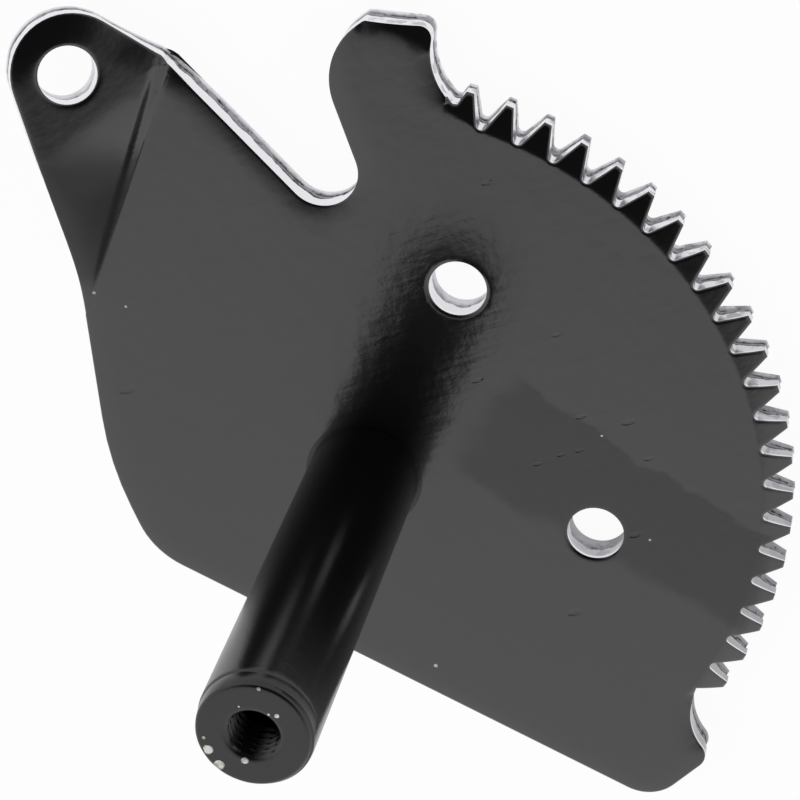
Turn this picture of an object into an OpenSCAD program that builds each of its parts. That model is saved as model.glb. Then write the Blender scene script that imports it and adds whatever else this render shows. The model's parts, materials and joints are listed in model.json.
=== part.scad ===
// Sector gear: a stamped steel plate with a toothed rim and a bent-up link ear,
// carrying a turned pivot shaft that stands square on it at the centre of the teeth.
// Millimetres. Origin on the shaft axis at the plate's flat back, which it rests on,
// +Z along the shaft to its free end, +X through the middle tooth.

/* [Teeth] */
// Teeth on the sector
tooth_count = 21; // [5:2:23]
// Teeth a full circle would have
full_circle_teeth = 68; // [60:1:90]
// Radius over the tooth tips
tip_r = 74.08; // [72.5:0.01:76]
// Depth from the tip to the bottom of a gap
tooth_depth = 4.76; // [3.5:0.01:5.2]
// Width of the flat tip of a tooth
tip_land = 1.26; // [0.6:0.01:2]
// Lean of a flank from the tooth's middle line
flank_deg = 22.6; // [14:0.1:26]
// Radius where the stamped front edge of the tips begins to roll over
roll_start_r = 70.3; // [69.5:0.05:72]
// Radius of the rolled-over edge
roll_r = 4.2; // [4:0.05:8]

/* [Plate] */
// Plate thickness, a quarter inch
plate_t = 6.35; // [4.5:0.05:8]
// Shaft axis to the long straight edge
edge_dist = 34.1; // [28:0.1:37]
// Direction the long straight edge faces
edge_deg = 222.3; // [220:0.1:225]
// Shaft axis to the left side
side_dist = 43.5; // [40:0.1:48]
// Round at the foot of the left side
side_round = 15; // [6:0.5:16]
// Easing of the left side's bend
side_ease = 60; // [20:1:65]
// Shaft axis to the end flat of the lug
lug_dist = 80.5; // [78.5:0.1:83]
// Direction the end flat of the lug faces
lug_deg = -66.95; // [-69:0.05:-65]
// Outer round of the lug
lug_round = 7.1; // [3:0.1:8]
// Inner corner round of the lug
lug_corner = 3.7; // [1:0.1:3.8]
// Shaft axis to the top flat of the hump
hump_dist = 83.8; // [82:0.1:86]
// Direction the top flat of the hump faces
hump_deg = 64.5; // [63:0.1:66]
// Length of the top flat left of its square to the shaft
hump_flat = 2.9; // [0.5:0.1:4]
// Big round of the hump
hump_round = 12.4; // [8:0.1:13]
// Corner round of the hump
hump_corner = 2.3; // [0.8:0.1:2.5]
// Radius of the hollows beside the end teeth
hollow_r = 13.3; // [9:0.1:13.5]
// Run of the shoulder beside the ear, up to the crease
shoulder_len = 15; // [13:0.1:17]
// Radius of the notch between the hump and the ear
notch_r = 6.25; // [5:0.05:6.6]

/* [Plain holes] */
// Diameter of the two holes in the plate
hole_d = 9.92; // [6:0.01:14]
// Upper hole, distance from the shaft axis
hole_a_dist = 40.87; // [34:0.01:46]
// Upper hole, direction from the middle tooth
hole_a_deg = 43.35; // [38:0.05:48]
// Lower hole, distance from the shaft axis
hole_b_dist = 41.36; // [34:0.01:46]
// Lower hole, direction from the middle tooth
hole_b_deg = -33.11; // [-38:0.05:-28]

/* [Link ear] */
// Lean of the ear from the plate
ear_tilt = 26.5; // [18:0.1:32]
// Direction the leaning ear faces
ear_face_deg = -7; // [-14:0.1:2]
// Upper end of the crease to the middle of the ear's round end
ear_reach = 16; // [14:0.1:22]
// Direction of the round end from there, in the ear's own plane
ear_reach_deg = 157.7; // [154:0.1:161]
// Round end of the ear
ear_r = 10.1; // [8.5:0.05:11]
// Straight run of the ear's upper edge
ear_top_len = 10.5; // [8:0.1:11.5]
// Straight run of the ear's left edge
ear_left_len = 12; // [9:0.1:16]
// How far the hole lies out past the middle of the round end
ear_hole_out = 0.75; // [0:0.05:1.5]
// Hole in the ear, diameter
ear_hole_d = 9.92; // [6:0.01:12]

/* [Pivot shaft] */
// Shaft diameter, three quarters of an inch
shaft_d = 19.05; // [14:0.05:24]
// Length from the plate's front face to the free end
shaft_len = 82; // [50:0.5:120]
// Diameter of the spigot held in the plate
spigot_d = 15.88; // [10:0.01:15.9]
// Gap all round the spigot in its hole
spigot_gap = 0.05; // [0.02:0.01:0.2]
// Height of the small flare at the shaft's foot
foot_h = 1.1; // [0.4:0.1:3]
// How far the foot stands out past the shaft
foot_out = 0.8; // [0.2:0.1:2]
// Length of the tapered band at the free end
taper_len = 3; // [1:0.1:6]
// How much the taper takes off the radius
taper_in = 0.5; // [0.1:0.05:1]
// Break of the end edge
end_break = 0.7; // [0.2:0.1:1.2]
// Tapping drill of the end thread
tap_d = 7.94; // [4:0.01:8.8]
// Depth of the tapped hole
tap_depth = 26; // [8:0.5:40]
// Countersink at the mouth of the tapped hole
tap_sink = 0.45; // [0.1:0.05:0.8]

/* [Hidden] */
$fn = 96;
eps = 0.01;
pitch_deg = 360 / full_circle_teeth;
half_teeth = (tooth_count - 1) / 2;
rim_deg = pitch_deg * tooth_count / 2;
root_r = tip_r - tooth_depth;
steel_paint = [0.07, 0.07, 0.08];
shaft_paint = [0.10, 0.10, 0.11];

// Plane geometry of the outline
function dir(a) = [cos(a), sin(a)];
function unit(v) = v / norm(v);
function meet(p, a, q, b) =
    p + dir(a) * ((q[0] - p[0]) * sin(b) - (q[1] - p[1]) * cos(b)) / sin(b - a);
function turn(a, p, b) =
    let (u = unit(p - a), w = unit(b - p))
    atan2(u[0] * w[1] - u[1] * w[0], u * w);
function arc_step(t, r) = max(2, min(ceil(abs(t) / 5), ceil(r * abs(t) / 25)));
// A corner p between a and b, drawn as an arc of radius r
function rounded(a, p, b, r) =
    let (t = turn(a, p, b), s = sign(t))
    let (back = r * tan(abs(t) / 2), u = unit(p - a))
    let (side = [-u[1], u[0]] * s, c = p - u * back + side * r)
    let (from = atan2(-side[1], -side[0]), n = arc_step(t, r))
    [for (i = [0 : n]) c + r * dir(from + t * i / n)];
// Corner i of a list of [point, radius]; a round never outgrows the edges beside it
function at(k, i) = k[(i + len(k)) % len(k)];
function reach(k, i) = at(k, i)[1] * tan(abs(turn(at(k, i - 1)[0], at(k, i)[0], at(k, i + 1)[0])) / 2);
function room(k, i) =
    min(1, 0.98 * norm(at(k, i + 1)[0] - at(k, i)[0]) / max(eps, reach(k, i) + reach(k, i + 1)));
function outline(k) =
    [for (i = [0 : len(k) - 1])
        let (r = at(k, i)[1] * min(room(k, i - 1), room(k, i)), p = at(k, i)[0])
        each (r == 0 ? [p] : rounded(at(k, i - 1)[0], p, at(k, i + 1)[0], r))];

// Straight lines of the outline: a point on each and its run
edge_p = dir(edge_deg) * edge_dist;
edge_run = edge_deg + 90;
side_p = [-side_dist, 0];
slope_deg = 72.5;
slope_p = [4.5 - side_dist, 30];
lug_p = dir(lug_deg) * lug_dist;
lug_run = lug_deg + 90;
lug_side_deg = 104;
hump_p = dir(hump_deg) * hump_dist;
hump_run = hump_deg + 90;
hump_side_deg = 59.7;
hump_fall_deg = 36.6;
back_deg = 86.5;
back_p = [22.6, 60.4];
shoulder_deg = 111.5;
shoulder_p = [4.8, 66.4];

// The crease the ear is bent up from, from the shoulder to the left side
crease_a = shoulder_p + dir(shoulder_deg) * shoulder_len;
crease_deg = 227.5;
crease_b = meet(crease_a, crease_deg, slope_p, slope_deg);

// The bend is drawn this much thinner on each side and this far into its neighbours
bend_thin = 0.06;
bend_lap = 0.6;

// Corners where the toothed rim ends
low_valley = dir(-rim_deg - 0.55) * (root_r + 1);
low_hollow = dir(-rim_deg - 5.5) * (root_r + 4.2);
lug_side = meet(low_hollow, lug_side_deg, lug_p, lug_run);
high_valley = dir(rim_deg - 0.9) * (root_r + 2.7);
high_hollow = dir(rim_deg + 3.05) * (root_r + 6.6);
hump_side = meet(high_hollow, hump_side_deg, hump_p, hump_run);
hump_end = hump_p + dir(hump_run) * hump_flat;
hump_left = meet(hump_end, hump_run + hump_fall_deg, back_p, back_deg);

BODY = [
    [[root_r * cos(rim_deg - 2.4), -root_r * sin(rim_deg - 2.4)], 0],
    [[(root_r + 3) * cos(rim_deg - 2.2), (root_r + 3) * sin(rim_deg - 2.2)], 0],
    [high_valley, 0.8],
    [high_hollow, hollow_r],
    [hump_side, hump_corner],
    [hump_end, 0.8],
    [hump_left, hump_round],
    [meet(back_p, back_deg, shoulder_p, shoulder_deg), notch_r],
    [crease_a + bend_lap * dir(shoulder_deg), 0],
    [crease_b + bend_lap * dir(slope_deg), 0],
    [meet(slope_p, slope_deg, side_p, 90), side_ease],
    [meet(side_p, 90, edge_p, edge_run), side_round],
    [meet(edge_p, edge_run, lug_p, lug_run), lug_round],
    [lug_side, lug_corner],
    [low_hollow, hollow_r],
    [low_valley, 1]
];

// The ear lies in a plane of its own through the upper end of the crease
ear_o = [each crease_a, plate_t];
ear_axis = [-sin(ear_face_deg), cos(ear_face_deg), 0];
function spin(v) =
    v * cos(ear_tilt) + cross(ear_axis, v) * sin(ear_tilt)
    + ear_axis * (ear_axis * v) * (1 - cos(ear_tilt));
function on_ear(p) = ear_o + spin([p[0], p[1], 0]);
ear_c = ear_reach * dir(ear_reach_deg);
ear_hole = (ear_reach + ear_hole_out) * dir(ear_reach_deg);
ear_left_deg = 262.8;
ear_top_deg = 303.1;
left_touch = ear_c + ear_r * dir(ear_left_deg - 90);
top_touch = ear_c + ear_r * dir(ear_top_deg + 90);
ear_a = top_touch + dir(ear_top_deg) * ear_top_len;
ear_b = left_touch + dir(ear_left_deg) * ear_left_len;
ear_cut = unit(ear_b - ear_a);
ear_below = [-ear_cut[1], ear_cut[0]];

// Bend between the crease and the ear: folded straight up at the crease, flat with the plate
// where the crease runs out at the left edge, and level with the ear at the far side
bend_a = ear_a + bend_thin * dir(ear_top_deg - 90);
bend_b = ear_b + bend_thin * dir(ear_left_deg + 90);
bend_steps = 14;
bend_rows = 12;
bend_snap = 0.8;
bend_pull = 1.3;
function mix(a, b, v) = a * (1 - v) + b * v;
function at_crease(v) =
    [each mix(crease_a + bend_thin * dir(shoulder_deg + 90), crease_b + bend_thin * dir(slope_deg - 90), v),
     plate_t - bend_thin];
function at_ear(v) = mix(on_ear(bend_a), on_ear(bend_b), v) - bend_thin * spin([0, 0, 1]);
function across(v) = at_ear(v) - at_crease(v);
function leave(v) =
    mix(across(v), norm(across(v)) * bend_snap * [each dir(slope_deg), 0], v * v * v);
function arrive(v) =
    unit(mix(spin([each dir(ear_top_deg + 180), 0]), spin([each dir(ear_left_deg + 180), 0]), v));
function bend(u, v) =
    at_crease(v) * (2 * u * u * u - 3 * u * u + 1) + at_ear(v) * (3 * u * u - 2 * u * u * u)
    + leave(v) * (u * u * u - 2 * u * u + u)
    + arrive(v) * norm(across(v)) * bend_pull * (u * u * u - u * u);
// Its underside lies a plate's thickness below, from square to the plate to square to the ear
function bend_down(u) = unit(mix([0, 0, 1], spin([0, 0, 1]), u));
function bend_low(u, v) = bend(u, v) - (plate_t - 2 * bend_thin) * bend_down(u);

module bend_body() {
    n = bend_rows + 1;
    half = (bend_steps + 1) * n;
    top = [for (i = [0 : bend_steps], j = [0 : bend_rows]) bend(i / bend_steps, j / bend_rows)];
    low = [for (i = [0 : bend_steps], j = [0 : bend_rows]) bend_low(i / bend_steps, j / bend_rows)];
    skin = [for (i = [0 : bend_steps - 1], j = [0 : bend_rows - 1])
        let (a = i * n + j, b = half + a)
        each [[a, a + 1, a + n], [a + 1, a + n + 1, a + n],
              [b, b + n, b + 1], [b + 1, b + n, b + n + 1]]];
    sides = [for (i = [0 : bend_steps - 1])
        let (a = i * n, b = i * n + bend_rows)
        each [[a, a + n, half + a], [a + n, half + a + n, half + a],
              [b, half + b, b + n], [b + n, half + b, half + b + n]]];
    ends = [for (j = [0 : bend_rows - 1])
        let (a = j, b = bend_steps * n + j)
        each [[a, half + a, a + 1], [a + 1, half + a, half + a + 1],
              [b, b + 1, half + b], [b + 1, half + b + 1, half + b]]];
    polyhedron(points = concat(top, low), faces = concat(skin, sides, ends), convexity = 4);
}

// One gap between two teeth, along +X, round at the bottom
module tooth_gap() {
    lean = flank_deg + pitch_deg / 2;
    mouth = tip_r * sin(pitch_deg / 2) - tip_land / 2;
    over = mouth + 2 * tan(lean);
    r = (mouth - tooth_depth * tan(lean)) * cos(lean) / (1 - sin(lean));
    c = root_r + r;
    polygon([
        [c - r * sin(lean), -r * cos(lean)],
        [tip_r + 2, -over],
        [tip_r + 2, over],
        [c - r * sin(lean), r * cos(lean)]
    ]);
    translate([c, 0])
        circle(r = r);
}

module toothed_sector() {
    difference() {
        intersection() {
            circle(r = tip_r, $fn = 360);
            polygon([
                [0, 0],
                dir(-rim_deg) * tip_r * 1.3,
                [tip_r * 1.5, 0],
                dir(rim_deg) * tip_r * 1.3
            ]);
        }
        for (i = [0 : tooth_count])
            rotate(pitch_deg * i - rim_deg)
                tooth_gap();
    }
}

// The stamping rolls the front edge of the tooth tips over
module tip_roll() {
    rotate(-rim_deg)
        rotate_extrude(angle = 2 * rim_deg, $fn = 360)
            translate([roll_start_r, plate_t - roll_r])
                difference() {
                    square([tip_r + 2 - roll_start_r, roll_r + 1]);
                    circle(r = roll_r);
                }
}

module ear_body() {
    translate(ear_o)
        rotate(a = ear_tilt, v = ear_axis)
            translate([0, 0, -plate_t])
                linear_extrude(plate_t)
                    difference() {
                        union() {
                            polygon([
                                ear_c,
                                left_touch,
                                ear_b + bend_lap * dir(ear_left_deg),
                                ear_a + bend_lap * dir(ear_top_deg),
                                top_touch
                            ]);
                            translate(ear_c)
                                circle(r = ear_r);
                        }
                        polygon([
                            ear_a + bend_lap * dir(ear_top_deg) - ear_cut * 20,
                            ear_b + bend_lap * dir(ear_left_deg) + ear_cut * 20,
                            ear_b + ear_cut * 20 + ear_below * 30,
                            ear_a - ear_cut * 20 + ear_below * 30
                        ]);
                        translate(ear_hole)
                            circle(d = ear_hole_d);
                    }
}

module sector_plate() {
    color(steel_paint)
        union() {
            difference() {
                linear_extrude(plate_t)
                    difference() {
                        union() {
                            polygon(outline(BODY));
                            toothed_sector();
                        }
                        circle(d = spigot_d + 2 * spigot_gap);
                        rotate(hole_a_deg)
                            translate([hole_a_dist, 0])
                                circle(d = hole_d);
                        rotate(hole_b_deg)
                            translate([hole_b_dist, 0])
                                circle(d = hole_d);
                    }
                tip_roll();
            }
            bend_body();
            ear_body();
        }
}

module pivot_shaft() {
    r = shaft_d / 2;
    end_r = r - taper_in;
    tap_r = tap_d / 2;
    top = plate_t + shaft_len;
    color(shaft_paint)
        rotate_extrude()
            polygon([
                [0, 0],
                [spigot_d / 2, 0],
                [spigot_d / 2, plate_t],
                [r + foot_out, plate_t],
                [r, plate_t + foot_h],
                [r, top - taper_len],
                [end_r, top - end_break],
                [end_r - end_break, top],
                [tap_r + tap_sink, top],
                [tap_r, top - tap_sink],
                [tap_r, top - tap_depth],
                [0, top - tap_depth - tap_r * tan(31)]
            ]);
}

sector_plate();
pivot_shaft();
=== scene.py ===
import json
import math

import bmesh
import bpy
import numpy as np
from mathutils import Matrix, Vector, geometry, kdtree, noise
from mathutils.bvhtree import BVHTree


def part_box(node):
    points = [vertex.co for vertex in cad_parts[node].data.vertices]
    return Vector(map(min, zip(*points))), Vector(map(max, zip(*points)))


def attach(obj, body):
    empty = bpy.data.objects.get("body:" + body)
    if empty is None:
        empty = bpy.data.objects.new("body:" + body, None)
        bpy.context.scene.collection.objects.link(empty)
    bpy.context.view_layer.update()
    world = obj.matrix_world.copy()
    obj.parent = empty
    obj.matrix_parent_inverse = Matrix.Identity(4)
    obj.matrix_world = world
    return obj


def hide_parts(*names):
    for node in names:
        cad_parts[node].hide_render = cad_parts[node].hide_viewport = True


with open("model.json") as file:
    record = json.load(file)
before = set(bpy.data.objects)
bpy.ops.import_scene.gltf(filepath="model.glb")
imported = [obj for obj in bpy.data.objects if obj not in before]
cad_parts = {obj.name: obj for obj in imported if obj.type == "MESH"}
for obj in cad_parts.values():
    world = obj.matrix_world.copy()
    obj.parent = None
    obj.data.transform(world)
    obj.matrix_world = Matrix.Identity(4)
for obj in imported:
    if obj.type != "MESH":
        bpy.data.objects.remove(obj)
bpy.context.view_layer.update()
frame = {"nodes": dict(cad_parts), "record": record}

# Sector plate: quarter-inch steel blanked on a press, then bent up at the link ear and painted gloss black.
# The punch drags the front edge over into a roll, most of all on the ear, the hump and the tooth tips.
# Below the roll a sheared wall has a smooth burnished band, then a ragged line, then torn fracture.
mm = 0.001
bpy.ops.object.select_all(action="DESELECT")
plate_cad = frame["nodes"]["sector_plate"]
link_hole = next(m for m in frame["record"]["mounts"] if m["name"] == "link_hole")
plate_t = link_hole["dims"]["length_mm"] * mm
ear_up = Vector(link_hole["axis"]).normalized()
plate_up = Vector((0, 0, 1))
down = Vector((0, 0, -1))
high_above = Vector((0, 0, 0.1))
tooth_root_r = 69.3 * mm
tooth_tip_r = 74.08 * mm
step_along = 0.42 * mm
crowded = 0.1 * mm

solid = bmesh.new()
solid.from_mesh(plate_cad.data)
bmesh.ops.remove_doubles(solid, verts=solid.verts, dist=2e-6)
solid.normal_update()
solid.faces.index_update()
solid_tree = BVHTree.FromBMesh(solid)

# The front is every face that a flat one up there runs into without a sharp edge.
front_skin = {f for f in solid.faces if f.normal.z > 0.8 and f.calc_center_median().z > 0.8 * plate_t}
spreading = list(front_skin)
while spreading:
    face = spreading.pop()
    for other in {f for e in face.edges for f in e.link_faces} - front_skin:
        if face.normal.angle(other.normal) < math.radians(25):
            front_skin.add(other)
            spreading.append(other)
front_index = {f.index for f in front_skin}


def front_height(x, y):
    """Height of the plate's front over a place in plan, or None off the plate."""
    place, _, index, _ = solid_tree.ray_cast(Vector((x, y, 0)) + high_above, down)
    return place.z if index in front_index else None


# The bend in the crease's own directions: along it from its upper end, and off it towards the ear.
crease_top = Vector((-0.6975, 80.3563)) * mm
crease_run = Vector((-34.8869, 43.0451)) * mm - crease_top
crease_len = crease_run.length
crease_run.normalize()
crease_off = Vector((crease_run.y, -crease_run.x))
ear_rise = -ear_up.xy / ear_up.z
ear_meets = 19.56 * mm
ear_line_start = 2.26 * mm
ear_line_slope = 0.5577
ear_line_before = 1.65 * mm


def by_crease(x, y):
    """How far along the crease and how far off it a place in plan is."""
    here = Vector((x, y)) - crease_top
    return here @ crease_run, here @ crease_off


def ear_line(along):
    """How far off the crease the bend is level with the ear."""
    return ear_line_start + ear_line_slope * (along + ear_line_before)


def ear_share(place):
    """Nought on the plate, one on the ear, and between the two on the bend."""
    along, off = by_crease(place.x, place.y)
    if off <= 0 or along > crease_len:
        return 0
    wide = ear_line(along) if along < ear_meets else far_off(along)
    share = min(1, off / max(wide, 0.2 * mm)) * min(1, (crease_len - along) / (crease_len - ear_meets))
    return share * share * (3 - 2 * share)


def up_at(place):
    """Square to the sheet: up on the plate, along the ear's axis on the ear, between the two on the bend."""
    return plate_up.lerp(ear_up, ear_share(place)).normalized()


def front_edges():
    """Edges of the front where the solid falls away beside them, each from one end to the next."""
    following = {}
    for face in sorted(front_skin, key=lambda f: f.index):
        for loop in face.loops:
            if all(f in front_skin for f in loop.edge.link_faces):
                continue
            a = loop.vert.co
            b = loop.link_loop_next.vert.co
            run = (b - a).to_2d()
            if run.length < 1e-7:
                continue
            out = Vector((run.y, -run.x, 0)) / run.length
            beside = (a + b) / 2 + out * 0.25 * mm
            hit = solid_tree.ray_cast(beside.xy.to_3d() + high_above, down)[0]
            if hit is None or hit.z < beside.z - 0.3 * mm:
                following[loop.vert] = loop.link_loop_next.vert
    return following


def walk(following):
    """The edges chained into closed loops; a run that ends at a small step goes on at the nearest start."""
    starts = [v for v in following if v not in set(following.values())]
    runs = []
    left = dict(following)
    for first in starts + list(following):
        if first not in left:
            continue
        run = [first]
        while run[-1] in left:
            run.append(left.pop(run[-1]))
        runs.append([v.co.copy() for v in run])
    loops = [r[:-1] for r in runs if (r[0] - r[-1]).length < 1e-7]
    runs = [r for r in runs if (r[0] - r[-1]).length >= 1e-7]
    while runs:
        chain = runs.pop(0)
        while runs:
            near = min(runs, key=lambda r: (r[0] - chain[-1]).length)
            if (near[0] - chain[-1]).length > (chain[0] - chain[-1]).length:
                break
            runs.remove(near)
            chain += near
        loops.append(chain)
    return loops


def even_steps(loop):
    """The loop with points close together; its corners stay, crowded and turned-back points go."""
    kept = [loop[0]]
    for place in loop[1:]:
        if (place - kept[-1]).length > crowded:
            kept.append(place)
    for i in reversed(range(len(kept))):
        run_in = (kept[i] - kept[i - 1]).to_2d()
        run_out = (kept[(i + 1) % len(kept)] - kept[i]).to_2d()
        turned_back = run_in.normalized() @ run_out.normalized() < 0.05
        if turned_back:
            kept.pop(i)
    made = []
    for a, b in zip(kept, kept[1:] + kept[:1]):
        count = max(1, round((b - a).length / step_along))
        made += [a.lerp(b, i / count) for i in range(count)]
    return made


loops = [even_steps(loop) for loop in walk(front_edges())]
loops.sort(key=len, reverse=True)
edge_points = []
edge_next = []
for loop in loops:
    first = len(edge_points)
    edge_points += loop
    edge_next += [first + (i + 1) % len(loop) for i in range(len(loop))]
edge_last = [0] * len(edge_next)
for i, j in enumerate(edge_next):
    edge_last[j] = i
outer_count = len(loops[0])

# The left edge of the bend, how far off the crease it is and how high, as smooth curves along the crease.
left_side = []
for place in edge_points[:outer_count]:
    along, off = by_crease(place.x, place.y)
    if ear_meets < along < crease_len and off > 0 and place.z > plate_t - 0.1 * mm:
        left_side.append((along, off, max(0, place.z - plate_t)))
left_side = np.array(left_side)
left_off = np.polyfit(left_side[:, 0], left_side[:, 1], 3)
left_high = np.polyfit(left_side[:, 0], left_side[:, 2], 4)


def far_off(along):
    """How far off the crease the left edge of the bend is."""
    return max(0.3 * mm, float(np.polyval(left_off, along)))


def fold_height(x, y):
    """Height of the ear and the bend: a strip beside the crease, a steep step, then a rise up to the ear."""
    along, off = by_crease(x, y)
    if along > crease_len - 0.3 * mm or off < -0.6 * mm:
        return None
    if along < ear_meets and off >= ear_line(along):
        return plate_t + ear_rise @ (Vector((x, y)) - crease_top)
    if along < 0:
        return None
    if along < ear_meets:
        wide = ear_line(along)
        top = ear_rise @ (crease_run * along + crease_off * wide)
    else:
        wide = far_off(along)
        top = max(0, float(np.polyval(left_high, along)))
    level = min(1, max(0, (along - ear_meets) / (18 * mm)))
    level = level * level * (3 - 2 * level)
    down_crease = along / crease_len
    step_most = 1.25 * mm
    step_wide = 0.9 * mm
    step = step_most * min(1, along / (6 * mm)) * min(1, (1 - down_crease) / 0.3) ** 1.5
    step = min(step, 0.5 * top)
    step_at = (2.1 - 2.0 * down_crease) * mm
    climb = min(1, max(0, (off - step_at) / step_wide + 0.5))
    climb = climb * climb * (3 - 2 * climb)
    share = min(1.05, max(0, off / wide))
    rise = top - step
    end_slope = (ear_rise @ crease_off) * wide * (1 - level) + rise * level
    bow = (2 * rise - end_slope) * share + (end_slope - rise) * share ** 2
    groove_deep = 0.16 * mm * max(0, 1 - along / (24 * mm))
    groove_wide = 0.22 * mm
    groove = groove_deep * math.exp(-((off + 0.1 * mm) / groove_wide) ** 2)
    return plate_t + step * climb + bow - groove


def edge_out(i):
    """Direction away from the plate at an edge point, in the plane of the sheet there."""
    run = edge_points[edge_next[i]] - edge_points[edge_last[i]]
    return run.cross(up_at(edge_points[i])).normalized()


# The walls lean with the sheet, evened out along the edge, and most of all round the crease's upper end.
lean = np.array([up_at(p) for p in edge_points])
from_top = np.array([(p.xy - crease_top).length for p in edge_points])[:, None]
near_top = np.clip(1.6 - from_top / (14 * mm), 0, 1)
for i in range(400):
    evened = (lean[edge_last] + 2 * lean + lean[edge_next]) / 4
    lean = lean + (evened - lean) * (near_top if i > 20 else 1)
edge_up = [Vector(k).normalized() for k in lean]
edge_away = [edge_out(i) for i in range(len(edge_points))]


def roll_size(i):
    """Width and depth of the rolled-over edge at an edge point, and how straight it slopes."""
    place = edge_points[i]
    away = edge_away[i]
    if i >= outer_count:
        return 0.9 * mm, 0.2 * mm, 0
    teeth_from, teeth_to = -56, 55.5
    bearing = math.degrees(math.atan2(place.y, place.x))
    if place.xy.length > tooth_root_r and teeth_from < bearing < teeth_to:
        return 0.45 * mm, 0.14 * mm, 0
    width, depth = 4.2, 0.42
    lifted = min(1, max(0, place.z - plate_t) / (2 * mm))
    upward = max(0, 0.25 * away.x + 0.95 * away.y)
    on_ear = max(lifted, 1 - min(1, (place.xy - Vector((-0.9, 80)) * mm).length / (5 * mm)))
    width += on_ear * (2.8 * upward - 1)
    depth += on_ear * (0.1 + 0.7 * upward)
    return width * mm, depth * mm, 0.6 * on_ear * upward


roll = np.array([roll_size(i) for i in range(len(edge_points))])
for i in range(12):
    roll = (roll[edge_last] + 2 * roll + roll[edge_next]) / 4


def nearest(first, last):
    """A search tree of the edge points from first up to last, in plan."""
    tree = kdtree.KDTree(last - first)
    for i in range(first, last):
        tree.insert(edge_points[i].xy.to_3d(), i)
    tree.balance()
    return tree


outer_tree = nearest(0, outer_count)
hole_tree = nearest(outer_count, len(edge_points))


def from_edge(x, y, tree=None):
    """Distance in plan from the nearest edge, and the edge point there."""
    if tree is None:
        return min(from_edge(x, y, outer_tree), from_edge(x, y, hole_tree))
    here = Vector((x, y))
    _, i, _ = tree.find(here.to_3d())
    gaps = []
    for a, b in ((edge_last[i], i), (i, edge_next[i])):
        _, share = geometry.intersect_point_line(here, edge_points[a].xy, edge_points[b].xy)
        share = min(1, max(0, share))
        gaps.append((edge_points[a].xy.lerp(edge_points[b].xy, share) - here).length)
    return min(gaps), i


def wedge(x, y):
    """How far the hump's corner is dragged down, past a round border that shows as a crisp line."""
    hump_middle = Vector((32.3, 66.2)) * mm
    border_r = 8.5 * mm
    slope = 0.37
    from_middle = Vector((x, y)) - hump_middle
    past = max(0, from_middle.length - border_r)
    bearing = math.degrees(math.atan2(from_middle.y, from_middle.x))
    ends = min(1, max(0, (112 - bearing) / 25)) * min(1, max(0, (bearing + 20) / 25))
    return slope * past * ends if past < 9 * mm else 0


def rim_height(x, y, height):
    """Front of the toothed rim: the die drags it down in a slope from just inside the roots to the tips."""
    tip_drop = 2.37 * mm
    low_end, top_gap, high_end = -58, 50.3, 55.6
    bearing = math.degrees(math.atan2(y, x))
    start = (69.1 + 0.42 * max(0, bearing - top_gap)) * mm
    reach = (math.hypot(x, y) - start) / (tooth_tip_r - start)
    if reach <= 0 or not low_end < bearing < high_end:
        return height
    share = min(1, (high_end - bearing) / 1.2) * min(1, (bearing - low_end) / 2)
    return height + share * (plate_t - tip_drop * min(1, reach) ** 1.25 - height)


def rolled(gap, i):
    """How far the roll has dragged the front down at this distance from an edge point."""
    width, depth, straight = roll[i]
    inside = max(0, 1 - gap / width)
    lip = max(0, 1 - gap / (0.35 * mm))
    return depth * inside ** (2.2 - straight) + 0.12 * mm * (1 - math.sqrt(1 - lip ** 2))


# Points of the front in plan: its edges, rows beside them, rows along the crease and the rim, then a grid.
plan = [tuple(p.xy) for p in edge_points]
heights = [p.z for p in edge_points]


def add_clear(x, y, gap):
    """Adds a place on the front that is further than the gap from every edge."""
    height = front_height(x, y)
    if height is not None and from_edge(x, y)[0] > gap:
        plan.append((x, y))
        heights.append(height)


for distance in (0.14, 0.32, 0.56, 0.9, 1.4, 2.1, 3.0, 4.2, 5.6):
    stride = max(1, round(distance / 0.55))
    for i in range(0, len(edge_points), stride):
        inner = edge_points[i].xy - edge_away[i].xy.normalized() * distance * mm
        height = front_height(*inner)
        if height is None or from_edge(*inner)[0] < 0.86 * distance * mm:
            continue
        if distance < 1 or height < plate_t + 0.02 * mm:
            plan.append(tuple(inner))
            heights.append(height)
crease_rows_end = 49.5
crease_rows = [-1.2, -0.9, -0.6, -0.4, -0.25, -0.1, 0.05, 0.2, 0.4] + [0.6 + 0.2 * k for k in range(13)]
for row, off in enumerate(crease_rows):
    for along in np.arange(0.3 + 0.2 * (row % 2), crease_rows_end, 0.4):
        place = crease_top + crease_run * along * mm + crease_off * off * mm
        add_clear(*place, 1.1 * mm)
for radius in (68.8, 69.1, 69.4, 69.8, 70.4):
    for bearing in np.arange(-56, 56, 0.35):
        x = radius * mm * math.cos(math.radians(bearing))
        y = radius * mm * math.sin(math.radians(bearing))
        add_clear(x, y, 0.5 * mm)
low, high = (np.array(c) for c in (np.min(plan, axis=0), np.max(plan, axis=0)))
for spacing, bent in ((1.5 * mm, False), (0.5 * mm, True)):
    for row, y in enumerate(np.arange(low[1], high[1], spacing * 0.866)):
        for x in np.arange(low[0] + spacing * 0.5 * (row % 2), high[0], spacing):
            height = front_height(x, y)
            if height is None or (height > plate_t + 0.02 * mm) != bent:
                continue
            along, off = by_crease(x, y)
            if 0 < along < crease_rows_end * mm and -1.4 * mm < off < 3.2 * mm:
                continue
            if from_edge(x, y)[0] > (1.1 if bent else 6.2) * mm:
                plan.append((x, y))
                heights.append(height)

lines = list(enumerate(edge_next))
inside_outline = 2
triangles, source = geometry.delaunay_2d_cdt([Vector(p) for p in plan], lines, [], inside_outline, 1e-7)[2:4]
front_faces = [[source[k][0] for k in triangle] for triangle in triangles]
front_faces = [f for f in front_faces if min(f) < outer_count or max(f) >= len(edge_points)]

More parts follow.
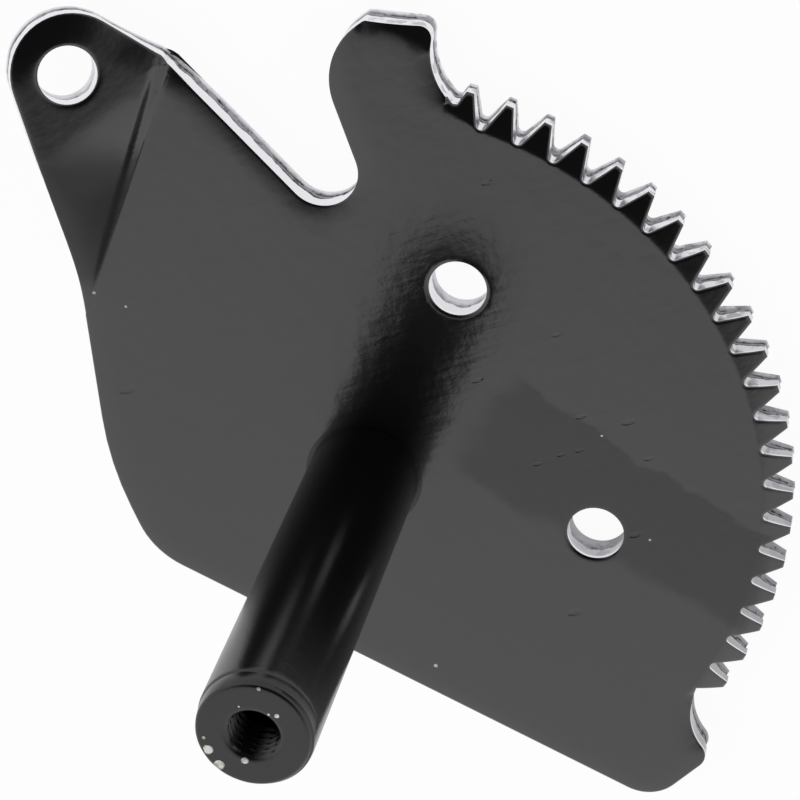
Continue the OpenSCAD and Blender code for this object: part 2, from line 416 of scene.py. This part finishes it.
front = []
back = []
for k, (x, y) in enumerate(plan):
    folded = fold_height(x, y)
    place = Vector((x, y, rim_height(x, y, heights[k]) if folded is None else folded))
    on_edge = k < len(edge_points)
    up = edge_up[k] if on_edge else up_at(place)
    if on_edge:
        dropped = max(rolled(0, k), wedge(x, y))
    else:
        near_outer = from_edge(x, y, outer_tree)
        dropped = max(rolled(*near_outer), rolled(*from_edge(x, y, hole_tree)), wedge(x, y))
    front.append(place - up * dropped)
    under = Vector((x, y, max(place.z, plate_t))) - up * plate_t
    under.z = max(0, under.z)
    back.append(under)

# The wall in rows from front to back: smooth above the tear, bitten back and rough below it.
# A hole is punched cleaner: burnished down to the tear and bright below it, with a thin line of painted shade
# between.
tear_at = 0.49
wall_shares = (0.04, 0.14, 0.3, 0.42, 0.49, 0.53, 0.58, 0.66, 0.75, 0.85, 0.94)
verts = [tuple(p) for p in front] + [tuple(p) for p in back]
faces = [tuple(f) for f in front_faces] + [tuple(len(plan) + k for k in reversed(f)) for f in front_faces]
shares = [0.0] * len(plan) + [1.0] * len(plan)
rows = [list(range(len(edge_points)))]
for share in wall_shares:
    row = []
    for i, place in enumerate(edge_points):
        top, bottom = front[i], back[i]
        ragged = noise.fractal(place * 350, 1.0, 2.0, 4) * 0.11
        torn = min(1, max(0, (share - tear_at) / 0.05))
        level = share + ragged * math.sin(math.pi * share) ** 2
        rough = noise.fractal(Vector((place.x, place.y, share * plate_t * 1.5)) * 1400, 1.0, 2.0, 3)
        bite = torn * (0.3 + 0.14 * rough) * mm * (1.5 - share)
        verts.append(tuple(top.lerp(bottom, level) - edge_away[i] * bite))
        hole_share = 0.75 * share if share < 0.55 else 0.62 + 0.38 * share
        shares.append(share if i < outer_count else hole_share)
        row.append(len(verts) - 1)
    rows.append(row)
rows.append([len(plan) + i for i in range(len(edge_points))])
wall_start = len(faces)
for upper, lower in zip(rows, rows[1:]):
    for i, j in enumerate(edge_next):
        faces.append((upper[j], upper[i], lower[i], lower[j]))

mesh = bpy.data.meshes.new("stamped_plate")
mesh.from_pydata(verts, [], faces)
mesh.validate()
layer = mesh.attributes.new("wall_share", "FLOAT", "POINT")
layer.data.foreach_set("value", shares)
stamped_plate = bpy.data.objects.new("stamped_plate", mesh)
bpy.context.collection.objects.link(stamped_plate)
bpy.context.view_layer.objects.active = stamped_plate
stamped_plate.select_set(True)
bpy.ops.object.shade_smooth_by_angle(angle=math.radians(38))
for face in mesh.polygons[wall_start:]:
    face.material_index = 1
solid.free()


class Wire:
    """A shader socket that can be added, subtracted and multiplied; each step adds a Math node."""

    def __init__(self, tree, socket=None):
        self.tree = tree
        self.socket = socket

    def node(self, kind, sockets=None, output=0, stops=None, **settings):
        """Any other node: its settings first, then the values or wires of its sockets."""
        made = self.tree.nodes.new("ShaderNode" + kind)
        for name, value in settings.items():
            setattr(made, name, value)
        for stop, (place, value) in zip(made.color_ramp.elements if stops else (), stops or ()):
            stop.position = place
            stop.color = (value, value, value, 1)
        for name, value in (sockets or {}).items():
            if isinstance(value, Wire):
                self.tree.links.new(value.socket, made.inputs[name])
            else:
                made.inputs[name].default_value = value
        return Wire(self.tree, made.outputs[output])

    def math(self, operation, *values):
        """A Math node with this as its first value."""
        return self.node("Math", dict(enumerate((self, *values))), operation=operation)

    def ramp(self, start, end):
        """Nought before start, one after end, smooth between."""
        sockets = {"Value": self, "From Min": start, "From Max": end}
        return self.node("MapRange", sockets, interpolation_type="SMOOTHSTEP")

    def mix(self, a, b):
        """Colour a where this is nought and b where it is one."""
        return self.node("Mix", {"Factor": self, 6: a, 7: b}, output=2, data_type="RGBA")

    def __add__(self, other):
        return self.math("ADD", other)

    def __sub__(self, other):
        return self.math("SUBTRACT", other)

    def __rsub__(self, other):
        return self * -1 + other

    def __mul__(self, other):
        return self.math("MULTIPLY", other)

    __radd__ = __add__
    __rmul__ = __mul__


def new_material(name):
    """A node material, its first wire and its shader."""
    material = bpy.data.materials.new(name)
    material.use_nodes = True
    return material, Wire(material.node_tree), material.node_tree.nodes["Principled BSDF"]


def plug(wire, shader, socket):
    """Links a wire to one of the shader's sockets."""
    wire.tree.links.new(wire.socket, shader.inputs[socket])


def spot(place, at, size):
    """One inside a round spot of that size in mm at a place in mm, nought outside, soft at its rim."""
    centre = tuple(c * mm for c in at)
    away = place.node("VectorMath", {0: place, 1: centre}, output="Value", operation="DISTANCE")
    return 1 - away.ramp(0.55 * size * mm, size * mm)


plate_black = (0.005, 0.005, 0.0054, 1)
plate_smear = (0.004, 0.004, 0.0044, 1)
chip_cream = (0.52, 0.5, 0.44, 1)
plate_chips = (((-3.0, -39.5, 6.3), 0.45), ((-31.2, 47, 6.4), 0.4), ((-8.5, 81.8, 9), 0.35),
               ((-26.9, 42.9, 6.3), 0.3), ((42.8, -5.1, 6.3), 0.3), ((43.3, -26.5, 6.3), 0.3))
plate_dings = (((26.3, 11.2, 6.3), 0.9), ((40.7, -0.6, 6.3), 0.8), ((48.2, -4, 6.3), 1.1),
               ((30.2, -6.9, 6.3), 0.6), ((34.7, -6.4, 6.3), 0.6), ((38, -6.6, 6.3), 0.6),
               ((48.9, -11.6, 6.3), 0.7), ((41.3, -24.8, 6.3), 1), ((25.3, -36.3, 6.3), 1.2),
               ((41.9, 44.4, 6.3), 0.8), ((42.6, 15, 6.3), 0.7), ((-33.6, 28.2, 6.3), 1.4))
ding_squash = 0.4

plate_paint, wire, shader = new_material("plate_paint")
place = wire.node("TexCoord", output="Object")
peel = wire.node("TexNoise", {"Vector": place, "Scale": 700, "Detail": 2})
lumps = wire.node("TexNoise", {"Vector": place, "Scale": 260, "Detail": 3})
wander = wire.node("TexNoise", {"Vector": place, "Scale": 60, "Detail": 4})
cloud = wire.node("TexNoise", {"Vector": place, "Scale": 22, "Detail": 4})
drawn = wire.node("Mapping", {"Vector": place, "Scale": (0.08, 1, 1), "Rotation": (0, 0, math.radians(8))})
lines = wire.node("TexNoise", {"Vector": drawn, "Scale": 900, "Detail": 3})
axes = [wire.node("SeparateXYZ", {"Vector": place}, output=k) for k in range(3)]
wobble = (wander - 0.5) * (11 * mm)
smear_high = (axes[0] * 0.82 + axes[1] * 0.57 + wobble).ramp(32.6 * mm, 33.4 * mm)
smear_low = (axes[0] * 0.78 + axes[1] * 0.62 + wobble).ramp(10 * mm, 13 * mm)
smear_start = (axes[0] * 0.57 - axes[1] * 0.82 + wobble).ramp(8 * mm, 15 * mm)
smear = smear_low * (1 - smear_high) * smear_start * axes[2].ramp(5 * mm, 6 * mm)
chips = sum(spot(place, *chip) for chip in plate_chips)
squashed = wire.node("Mapping", {"Vector": place, "Scale": (ding_squash, 1, 1)})
dings = sum(spot(squashed, (ding_squash * x, y, z), 0.55 * size) for (x, y, z), size in plate_dings)
off_crease = axes[1] * 0.6756 - axes[0] * 0.7373
bend_dull = spot(place, (-28, 62, 11), 20) * off_crease.ramp(54.4 * mm, 55.4 * mm)
plug(chips.mix(smear.mix(plate_black, plate_smear), chip_cream), shader, "Base Color")
plug(0.12 + cloud * 0.08 - smear * 0.02 + chips * 0.3 + bend_dull * 0.4, shader, "Roughness")
plug((0.32 - smear * 0.32) * (1 - bend_dull * 0.9), shader, "Coat Weight")
relief = peel * 0.3 + lumps * 0.9 + wander * 1.6 + cloud * 2 + lines * 0.28 - dings * 0.9 - chips * 0.9
plug(wire.node("Bump", {"Height": relief, "Strength": 1.0, "Distance": 0.075 * mm}), shader, "Normal")
shader.inputs["Specular IOR Level"].default_value = 0.58
shader.inputs["Coat Roughness"].default_value = 0.14

edge_bright = (0.84, 0.83, 0.87, 1)
# Colour of the painted shade on the lower walls, also used for the stains.
edge_shade_and_stain = (0.3, 0.295, 0.315, 1)
edge_torn = (0.36, 0.355, 0.38, 1)
# Near-black colour of the painted shade in the wall's lines and pits.
edge_step_shade = (0.022, 0.022, 0.025, 1)
sheared_edge, wire, shader = new_material("sheared_edge")
place = wire.node("TexCoord", output="Object")
share = wire.node("Attribute", output="Fac", attribute_name="wall_share")
axes = [wire.node("SeparateXYZ", {"Vector": place}, output=k) for k in range(3)]
streaks = wire.node("TexNoise", {"Vector": place, "Scale": 330, "Detail": 5})
grains = wire.node("TexNoise", {"Vector": place, "Scale": 1300, "Detail": 4})
blotches = wire.node("TexNoise", {"Vector": place, "Scale": 260, "Detail": 2})
depth = share + (streaks - 0.5) * 0.22
torn = depth.ramp(0.5, 0.57)
# Painted shade: near-black ragged lines where the wall steps back at the tear and once more lower down, and
# darkened pits in the torn zone.
line = depth.ramp(0.45, 0.5) * (1 - depth.ramp(0.58, 0.66)) * (0.7 + blotches.ramp(0.4, 0.52) * 0.3)
second = depth.ramp(0.7, 0.73) * (1 - depth.ramp(0.76, 0.82)) * blotches.ramp(0.46, 0.56)
shaded_pits = torn * (1 - depth.ramp(0.8, 0.95)) * grains.ramp(0.5, 0.68)
stains = wire.node("TexNoise", {"Vector": place, "Scale": 420, "Detail": 2}).ramp(0.5, 0.62) * 0.6
stains = stains * axes[0].ramp(28 * mm, 40 * mm)
# Painted shade: the walls are darkened towards the bottom of the plate, low in y, and random stains on the
# toothed side are darkened with it.
wall_shade_and_stains = ((1 - axes[1].ramp(-50 * mm, 45 * mm)) * 0.85 + stains).math("MINIMUM", 0.9) * share.ramp(0.03, 0.12)
colour = torn.mix(edge_bright, edge_torn)
colour = depth.ramp(0.8, 1.0).mix(colour, edge_bright)
colour = wall_shade_and_stains.mix(colour, edge_shade_and_stain)
colour = (line * 0.95 + second * 0.8 + shaded_pits * 0.55).math("MINIMUM", 1).mix(colour, edge_step_shade)
plug(colour, shader, "Base Color")
plug(0.22 + torn * 0.3 + shaded_pits * 0.2, shader, "Roughness")
plug(0.95 - line * 0.6, shader, "Metallic")
relief = torn * grains * 1.6 + streaks * 0.3
plug(wire.node("Bump", {"Height": relief, "Strength": 0.4, "Distance": 0.15 * mm}), shader, "Normal")

stamped_plate.data.materials.append(plate_paint)
stamped_plate.data.materials.append(sheared_edge)
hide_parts("sector_plate")
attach(stamped_plate, "root")

# Pivot shaft: three-quarter-inch bar turned to length, its free end tapered, broken and tapped for a screw.
# It is fixed in the plate for good on a spigot and painted with it; paint has built up in a small foot ring.
# The paint is chipped off the sharp rims of the end, where the bright steel shows.
pin = next(m for m in frame["record"]["mounts"] if m["name"] == "pivot_pin")
thread = next(m for m in frame["record"]["mounts"] if m["name"] == "end_thread")
_, shaft_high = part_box("pivot_shaft")
shaft_r = pin["dims"]["r_mm"]
shaft_end = shaft_high[2] / mm
foot_r = shaft_high[0] / mm
drill_r = thread["dims"]["r_mm"]
spigot_r = 7.94
thread_r = 4.7
thread_pitch = 25.4 / 16
thread_len = 9.5
hole_floor = 26
drill_point = math.radians(31)
foot_high = 0.06
bar_from = 1.1
bar_rows = 40
taper_len = 3.75
rim_round = 0.6
rim_r = shaft_r - 1.05
thread_top = 0.5
plate_top = plate_t / mm

bpy.ops.object.select_all(action="DESELECT")
profile = [(0, 0), (spigot_r - 0.3, 0), (spigot_r, 0.3), (spigot_r, plate_top), (foot_r, plate_top),
           (foot_r, plate_top + foot_high), (shaft_r, plate_top + foot_high), (shaft_r, plate_top + bar_from)]
bar_len = shaft_end - 5.6 - plate_top
profile += [(shaft_r, plate_top + bar_from + bar_len * i / bar_rows) for i in range(1, bar_rows + 1)]
end_groove = ((0, taper_len), (0.05, 3.55), (0.22, 3.3), (0.26, 3.1), (0.22, 2.8), (0.28, 2), (0.4, 0.9))
profile += [(shaft_r - inward, shaft_end - below) for inward, below in end_groove]
for i in range(7):
    turn = math.radians(90 * i / 6)
    profile.append((rim_r + rim_round * math.cos(turn), shaft_end - rim_round + rim_round * math.sin(turn)))
profile += [(rim_r - k * (rim_r - drill_r - 0.55) / 6, shaft_end) for k in range(1, 6)]
profile += [(drill_r + 0.6, shaft_end), (drill_r + 0.5, shaft_end - 0.06), (drill_r + 0.2, shaft_end - 0.35)]
thread_rows = 72
profile += [(drill_r, shaft_end - thread_top - thread_len * i / thread_rows) for i in range(thread_rows + 1)]
point_deep = drill_r * math.tan(drill_point)
profile += [(drill_r, shaft_end - hole_floor), (0, shaft_end - hole_floor - point_deep)]

mesh = bpy.data.meshes.new("turned_shaft")
mesh.from_pydata([(r * mm, 0, z * mm) for r, z in profile], [(i, i + 1) for i in range(len(profile) - 1)], [])
turned_shaft = bpy.data.objects.new("turned_shaft", mesh)
bpy.context.collection.objects.link(turned_shaft)
bpy.context.view_layer.objects.active = turned_shaft
turned_shaft.select_set(True)
bpy.ops.object.mode_set(mode="EDIT")
bpy.ops.mesh.select_all(action="SELECT")
bpy.ops.mesh.spin(steps=144, angle=2 * math.pi, center=(0, 0, 0), axis=(0, 0, 1))
bpy.ops.mesh.select_all(action="SELECT")
bpy.ops.mesh.remove_doubles(threshold=1e-6)
bpy.ops.mesh.normals_make_consistent(inside=False)
bpy.ops.object.mode_set(mode="OBJECT")

taper_deep = math.radians(135)
for vert in mesh.vertices:
    r = vert.co.xy.length / mm
    z = vert.co.z / mm
    around = math.atan2(vert.co.y, vert.co.x)
    wanted = r
    if r < 0.01:
        continue
    if r < drill_r + 0.01 and shaft_end - thread_top - thread_len <= z <= shaft_end - 0.45:
        turn = ((shaft_end - z) / thread_pitch + around / (2 * math.pi)) % 1
        fade = min(1, (z - (shaft_end - thread_top - thread_len)) / 1.5)
        flank = max(0, min(1, 1.7 * (1 - abs(2 * turn - 1)) - 0.25))
        wanted = r + (thread_r - drill_r) * flank * fade
    if r > shaft_r - 1.2 and shaft_end - 3.7 < z < shaft_end - 0.01:
        shallow = (1 - math.cos(around - taper_deep)) / 2
        below_rim = min(1, max(0, (shaft_end - rim_round - z) / 0.4))
        wanted = r + (shaft_r - r) * shallow ** 0.7 * below_rim
        wanted += 0.05 * noise.noise(vert.co * 450) * (1 - shallow)
    vert.co.xy *= wanted / r
bpy.ops.object.shade_smooth_by_angle(angle=math.radians(32))

shaft_black = (0.0032, 0.0032, 0.0037, 1)
bare_steel = (0.6, 0.59, 0.57, 1)
dull_steel = (0.3, 0.28, 0.24, 1)
end_chips = ((-7.85, -0.45, 1.05), (-7.35, -3.45, 1.1), (-3.1, -3.9, 0.75), (5.1, 2.1, 0.5), (4.4, 7.3, 0.38),
             (0.1, 5.3, 0.22), (-7.6, 1.7, 0.35), (4, 2.7, 0.26))

shaft_paint, wire, shader = new_material("shaft_paint")
place = wire.node("TexCoord", output="Object")
long_grain = wire.node("Mapping", {"Vector": place, "Scale": (1, 1, 0.15)})
peel = wire.node("TexNoise", {"Vector": place, "Scale": 800, "Detail": 3})
runs = wire.node("TexNoise", {"Vector": long_grain, "Scale": 160, "Detail": 3})
ragged = wire.node("TexNoise", {"Vector": place, "Scale": 1100, "Detail": 4})
chips = sum(spot(place, (x, y, shaft_end), size) for x, y, size in end_chips)
chips = (chips + (ragged - 0.5) * 1.8).ramp(0.5, 0.62) * chips.ramp(0.02, 0.1)
mottled = ragged.ramp(0.42, 0.62).mix(bare_steel, dull_steel)
plug(chips.mix(shaft_black, mottled), shader, "Base Color")
plug(0.2 + runs * 0.1 + chips * 0.2, shader, "Roughness")
plug(chips * 0.9, shader, "Metallic")
relief = peel * 0.5 + runs * 0.6 + ragged * 0.5 - chips * 2.5
plug(wire.node("Bump", {"Height": relief, "Strength": 0.14, "Distance": 0.25 * mm}), shader, "Normal")
turned_shaft.data.materials.append(shaft_paint)
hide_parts("pivot_shaft")
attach(turned_shaft, "root")

# Studio: a white sheet under the part, soft light all round and a dark opening where the camera looks in.
# The opening is what the glossy black paint mirrors where a rolled edge leans towards the camera.
# The camera stands in front of the plate, turned so that the rim is on the right and the ear at the top left.
camera_at = Vector((196.28, 204.49, 471.27)) * mm
camera_aim = Vector((12.02, 11.77, 6.35)) * mm
camera_top = Vector((0.2666, 0.8484, -0.4573))
lens_mm = 140.87
bright_from = math.radians(61)
dark_within = math.radians(21)
sky_bright = 1.25
sky_least = 0.02
paper_white = 0.95

bpy.ops.object.select_all(action="DESELECT")
bpy.ops.mesh.primitive_plane_add(size=6)
floor = bpy.context.object
floor.name = "floor"
floor_white, wire, shader = new_material("floor_white")
shader.inputs["Base Color"].default_value = (0.93, 0.93, 0.93, 1)
shader.inputs["Roughness"].default_value = 0.9
path = wire.node("LightPath", output="Is Camera Ray")
glossy = wire.node("LightPath", output="Is Glossy Ray")
passing = wire.node("LightPath", output="Is Transmission Ray")
white = wire.node("Emission", {"Color": (1, 1, 1, 1), "Strength": 1.0})
seen = (path + glossy + passing).math("MINIMUM", 1) * paper_white
paper = Wire(wire.tree, shader.outputs[0])
sheet = wire.node("MixShader", {0: seen, 1: paper, 2: white})
wire.tree.links.new(sheet.socket, wire.tree.nodes["Material Output"].inputs["Surface"])
floor.data.materials.append(floor_white)

world = bpy.data.worlds.new("studio")
bpy.context.scene.world = world
world.use_nodes = True
sky = Wire(world.node_tree)
toward = sky.node("TexCoord", output="Generated")
to_camera = (camera_at - camera_aim).normalized()
aligned = sky.node("VectorMath", {0: toward, 1: tuple(to_camera)}, output="Value", operation="DOT_PRODUCT")
open_dark = aligned.ramp(math.cos(bright_from), math.cos(dark_within))
light = (1 - open_dark) * sky_bright + sky_least
backdrop = world.node_tree.nodes["Background"]
backdrop.inputs["Color"].default_value = (1, 1, 1, 1)
world.node_tree.links.new(light.socket, backdrop.inputs["Strength"])

bpy.ops.object.camera_add(location=camera_at)
camera = bpy.context.object
ahead = (camera_aim - camera_at).normalized()
across = ahead.cross(camera_top).normalized()
turned = Matrix((across, across.cross(ahead), -ahead)).transposed()
camera.rotation_euler = turned.to_euler()
camera.data.lens = lens_mm
camera.data.sensor_width = 36
camera.data.clip_end = 20
bpy.context.scene.camera = camera
bpy.context.scene.view_settings.view_transform = "Standard"
